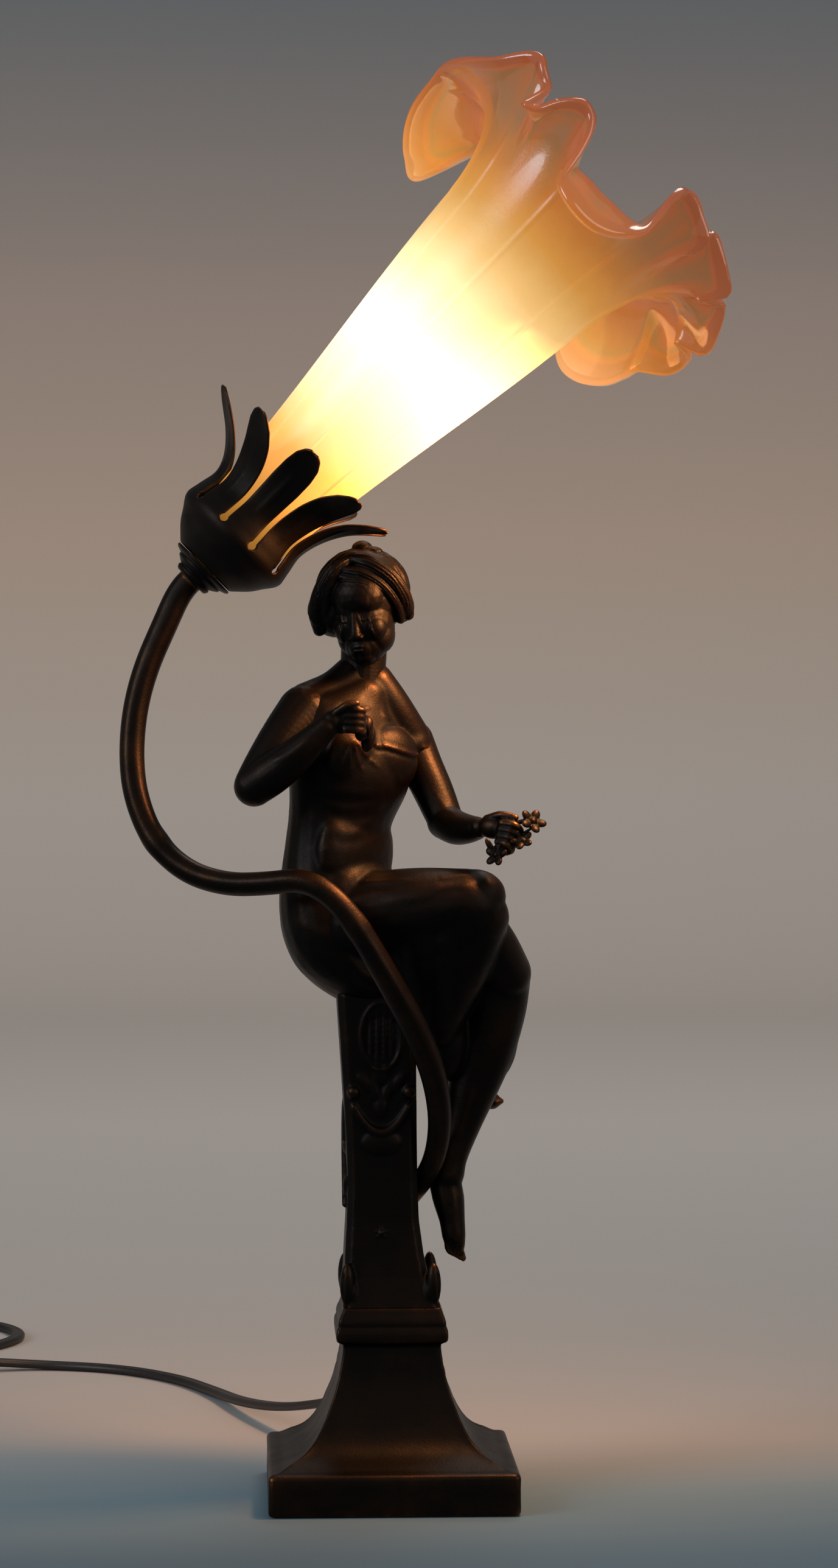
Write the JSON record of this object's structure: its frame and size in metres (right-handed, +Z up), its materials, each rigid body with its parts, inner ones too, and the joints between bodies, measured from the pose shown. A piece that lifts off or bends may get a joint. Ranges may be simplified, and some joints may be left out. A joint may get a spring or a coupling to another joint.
{
  "type": "figural table lamp",
  "caption": "Figural table lamp with a cast square pedestal, a seated draped figure, a curved stem, a petal calyx and a ruffled lily glass shade on a tilted lampholder.",
  "frame": {"origin": "centre of the underside of the square base, on the surface that the lamp stands on", "axes": "+Z up, front towards -Y, +X to the right of the person facing the lamp; the base's sides lie along X and Y"},
  "size_m": [0.4127, 0.4497, 0.489],
  "materials": {
    "bronze": "dark brown bronze patina, rubbed golden on high spots",
    "bronze_sheet": "dark patinated sheet metal",
    "steel": "zinc-plated steel",
    "brass_bare": "bare brass",
    "felt": "dark green felt",
    "glass_amber": "satin iridescent marigold glass",
    "bulb_glass": "lit opal glass",
    "holder_plastic": "black moulded",
    "porcelain": "white porcelain",
    "cord_black": "black sheathed flex",
    "plug_black": "black moulded plug",
    "switch_black": "black moulded switch",
    "nickel": "nickel-plated pins"
  },
  "bodies": {
    "lamp": {"base_casting": "bronze", "post_casting": "bronze", "figure_body": "bronze", "figure_head": "bronze", "figure_right_arm": "bronze", "figure_left_arm": "bronze", "posy": "bronze", "stem_tube": "bronze", "stem_collar": "bronze_sheet", "calyx": "bronze_sheet", "stem_lead": "cord_black", "gallery_nipple": "brass_bare", "gallery_locknut": "brass_bare", "lampholder_cap": "holder_plastic", "lampholder_sleeve": "holder_plastic", "lampholder_insert": "porcelain", "centre_contact": "brass_bare", "tie_rod": "steel", "tie_nut": "steel", "tie_washer": "steel", "bottom_plate": "steel", "plate_screws": "steel", "base_felt": "felt", "terminal_block": "holder_plastic", "cord_relief": "cord_black", "cord_tail": "cord_black", "cord_lead": "cord_black", "cord_loop": "cord_black", "cord_coil": "cord_black", "cord_tie": "cord_black", "switch_lower": "switch_black", "switch_upper": "switch_black", "switch_screws": "steel", "plug_body": "plug_black", "plug_pins": "nickel"},
    "shade": {"glass_shade": "glass_amber"},
    "bulb": {"bulb_cap": "brass_bare", "bulb_glass": "bulb_glass"},
    "rocker": {"switch_rocker": "switch_black"}
  },
  "joints": [
    {"name": "shade_lift", "type": "slide", "parent": "lamp", "child": "shade", "axis": [0.7133, 0, 0.7009], "range_m": [0, 0.022]},
    {"name": "bulb_unscrew", "type": "slide", "parent": "lamp", "child": "bulb", "axis": [0.7133, 0, 0.7009], "range_m": [0, 0.022]},
    {"name": "rocker_tilt", "type": "hinge", "parent": "lamp", "child": "rocker", "pos_m": [-0.204, 0.2434, 0.0138], "axis": [0.2618, -0.9651, 0], "range_deg": [0, 14]}
  ]
}
